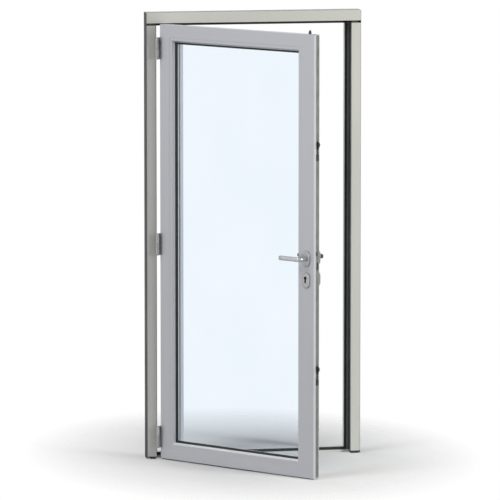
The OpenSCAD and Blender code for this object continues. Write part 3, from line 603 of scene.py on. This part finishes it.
def frame_screws():
    """The screws of the hinges' frame wings and the keeps."""
    bm = bmesh.new()
    for z in HINGE_Z.values():
        for dz in WING_SCREWS:
            cross_screw(bm, (PIN_X, WING_D, z - WING_MID + dz), -math.pi/2, "Y", SCREW)
    for z0, z1 in KEEP_Z:
        for z in (z0 + KEEP_SCREW_END, z1 - KEEP_SCREW_END):
            cross_screw(bm, (KEEP_X, MID_D, z), math.pi/2, "Y", SCREW)
    return bm


def brush():
    """Two strips of bristles in their holders under the leaf."""
    bm = bmesh.new()
    x0, x1 = -0.471, 0.471
    r = 0.00035
    pitch = 0.0009
    root = 0.0036
    for w in (0.003, 0.032):
        pts = [(w, 0.0059), (w + 0.005, 0.0059), (w + 0.005, 0.0040), (w + 0.0042, 0.0034),
               (w + 0.0008, 0.0034), (w, 0.0040)]
        skin(bm, [ring(bm, [(x, d, z) for d, z in pts]) for x in (x0, x1)])
        x = x0 + 0.0008
        while x < x1 - 0.001:
            d = w + random.uniform(0.0014, 0.0036)
            lean = random.uniform(-0.0005, 0.0005)
            foot = random.uniform(0.0010, 0.0014)
            outline = ((-r, d - r), (r, d - r), (0.0, d + r))
            skin(bm, [ring(bm, [(at + a, b, z) for a, b in outline])
                      for at, z in ((x, root), (x + lean, foot))])
            x += pitch
    return bm


# Carried-over nodes and the pieces that replace others

FRAME_SHELLS = {"head_front_shell": ALU_HEAD, "head_rear_shell": ALU_HEAD,
                "hinge_jamb_front_shell": ALU_JAMB, "hinge_jamb_rear_shell": ALU_JAMB,
                "lock_jamb_front_shell": ALU_JAMB, "lock_jamb_rear_shell": ALU_JAMB,
                "threshold_base": ALU_HEAD, "threshold_stop": ALU_HEAD}
LEAF_SHELLS = {"hinge_stile_front_shell": ALU_STILE, "hinge_stile_rear_shell": ALU_STILE,
               "lock_stile_front_shell": ALU_STILE, "lock_stile_rear_shell": ALU_STILE,
               "top_rail_front_shell": ALU_RAIL, "top_rail_rear_shell": ALU_RAIL,
               "bottom_rail_front_shell": ALU_RAIL, "bottom_rail_rear_shell": ALU_RAIL,
               "hinge_side_bead": ALU_STILE, "lock_side_bead": ALU_STILE,
               "top_bead": ALU_RAIL, "bottom_bead": ALU_RAIL}
for node, material in FRAME_SHELLS.items():
    eased(node, "frame", material)
for node, material in LEAF_SHELLS.items():
    eased(node, "leaf", material)

PAINTS = {
    SEAL: ["frame_gaskets"],
    RUBBER: ["inner_glazing_gasket"],
    GREY_RUBBER: ["outer_glazing_gasket"],
    PLASTIC: ["frame_thermal_bars", "lock_jamb_thermal_bars", "leaf_thermal_bars",
              "joint_pads", "glazing_blocks", "hinge_washers", "hook_guides"],
    ZINC: ["latch_keep", "hook_keeps", "lock_case", "hook_cases", "latch_bolt",
           "upper_drive_rod", "lower_drive_rod", "spindle", "hinge_pins"],
    PLATE: ["lock_faceplate"],
    HINGE: ["hinge_frame_low", "hinge_frame_mid", "hinge_frame_top"],
    SATIN_LEAF: ["corner_cleats"],
    SPACER: ["pane_spacer"],
    GLASS: ["inner_pane", "outer_pane"],
    DARK: ["top_bolt", "deadbolt", "upper_hook", "lower_hook"],
}
for material, names in PAINTS.items():
    for node in names:
        paint(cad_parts[node], material)

add("handle_ovals_domed", ovals(), LEAF, "leaf", OVAL, "satin_metal", "handle_ovals")
add("inner_lever_swept", lever(-1, 0.0), LEAF, "handle", LEVER, "satin_metal", "inner_lever")
# The outer lever gets the painted shade colour.
add("outer_lever_swept", lever(1, LEAF_T), LEAF, "handle", SHADE, "dark_metal", "outer_lever")
for height, z in HINGE_Z.items():
    node = "hinge_leaf_" + height
    add(node + "_flap", hinge_flap(node, z), Matrix(), "leaf", HINGE, "satin_metal", node)
add("leaf_cross_screws", leaf_screws(), LEAF, "leaf", ZINC, "steel", "leaf_screws")
add("frame_cross_screws", frame_screws(), FRAME, "frame", ZINC, "steel", "frame_screws")
add("bottom_brush_bristles", brush(), LEAF, "leaf", PLASTIC, "black_plastic", "bottom_brush")


# Floor, light and camera

HALF_FLOOR = 9.0
floor_mesh = bpy.data.meshes.new("floor")
floor_mesh.from_pydata([(-HALF_FLOOR, -HALF_FLOOR, 0), (HALF_FLOOR, -HALF_FLOOR, 0),
                        (HALF_FLOOR, HALF_FLOOR, 0), (-HALF_FLOOR, HALF_FLOOR, 0)],
                       [], [(0, 1, 2, 3)])
floor = bpy.data.objects.new("floor", floor_mesh)
bpy.context.scene.collection.objects.link(floor)
fm, ft, fb = new_material("floor")
fn = noise(ft, coords(ft, (1.5, 1.5, 1.5)), 1.0, 2.0, 0.5)
ft.links.new(tone(ft, fn, (0.86, 0.86, 0.86), (0.89, 0.89, 0.89)), fb.inputs["Base Color"])
fb.inputs["Roughness"].default_value = 0.9
fb.inputs["Specular IOR Level"].default_value = 0.1
far_off = ft.nodes.new("ShaderNodeVectorMath")
far_off.operation = "LENGTH"
ft.links.new(coords(ft, (1.0, 0.75, 1.0)), far_off.inputs[0])
gone = ft.nodes.new("ShaderNodeMixShader")
air = ft.nodes.new("ShaderNodeBsdfTransparent")
ft.links.new(ranged(ft, far_off.outputs["Value"], 0.0, 1.0, 0.3, 1.1), gone.inputs["Fac"])
ft.links.new(fb.outputs["BSDF"], gone.inputs[1])
ft.links.new(air.outputs["BSDF"], gone.inputs[2])
ft.links.new(gone.outputs["Shader"], ft.nodes["Material Output"].inputs["Surface"])
floor.data.materials.append(fm)

world = bpy.data.worlds.new("world")
bpy.context.scene.world = world
world.use_nodes = True
wt = world.node_tree
wt.nodes.clear()
world_out = wt.nodes.new("ShaderNodeOutputWorld")
white = wt.nodes.new("ShaderNodeBackground")
white.inputs["Color"].default_value = (1.0, 1.0, 1.0, 1.0)
white.inputs["Strength"].default_value = 1.0
soft = wt.nodes.new("ShaderNodeBackground")
soft.inputs["Color"].default_value = (0.98, 0.99, 1.0, 1.0)
soft.inputs["Strength"].default_value = 0.16
path = wt.nodes.new("ShaderNodeLightPath")
seen = path.outputs["Is Camera Ray"]
for ray in ("Is Glossy Ray", "Is Transmission Ray"):
    either = wt.nodes.new("ShaderNodeMath")
    either.operation = "MAXIMUM"
    wt.links.new(seen, either.inputs[0])
    wt.links.new(path.outputs[ray], either.inputs[1])
    seen = either.outputs["Value"]
both = wt.nodes.new("ShaderNodeMixShader")
wt.links.new(seen, both.inputs["Fac"])
wt.links.new(soft.outputs["Background"], both.inputs[1])
wt.links.new(white.outputs["Background"], both.inputs[2])
wt.links.new(both.outputs["Shader"], world_out.inputs["Surface"])


def area(name, where, at, size, power, colour=(1.0, 1.0, 1.0)):
    """An area lamp aimed at a point."""
    d = bpy.data.lights.new(name, "AREA")
    d.shape = "RECTANGLE"
    d.size, d.size_y = size
    d.energy = power
    d.color = colour
    o = bpy.data.objects.new(name, d)
    bpy.context.scene.collection.objects.link(o)
    o.location = where
    o.rotation_mode = "QUATERNION"
    o.rotation_quaternion = (Vector(at) - Vector(where)).to_track_quat("-Z", "Y")
    return o


area("above", (-5.2, -3.4, 7.4), (0.0, -0.4, 0.8), (2.6, 2.6), 235.0, (0.985, 0.99, 1.0))
area("right", (5.6, -5.3, 2.2), (0.1, -0.2, 1.1), (1.6, 2.6), 450.0, (1.0, 0.985, 0.935))
area("left", (-7.4, -2.8, 1.3), (0.0, -0.3, 0.9), (3.0, 3.0), 105.0)
area("behind", (-2.3, 4.3, 6.0), (-0.2, -0.5, 0.2), (2.4, 2.4), 50.0)

CAMERA_AT = Vector((-4.3944, -24.1950, 4.1428))
CAMERA_AIM = Vector((-0.0202, -0.058, 1.0094))
lens = bpy.data.cameras.new("camera")
lens.sensor_width = 36.0
lens.lens = 368.4
lens.clip_start = 1.0
lens.clip_end = 200.0
camera = bpy.data.objects.new("camera", lens)
bpy.context.scene.collection.objects.link(camera)
camera.location = CAMERA_AT
camera.rotation_mode = "QUATERNION"
camera.rotation_quaternion = (CAMERA_AIM - CAMERA_AT).to_track_quat("-Z", "Y")
bpy.context.scene.camera = camera
bpy.context.scene.view_settings.view_transform = "Standard"
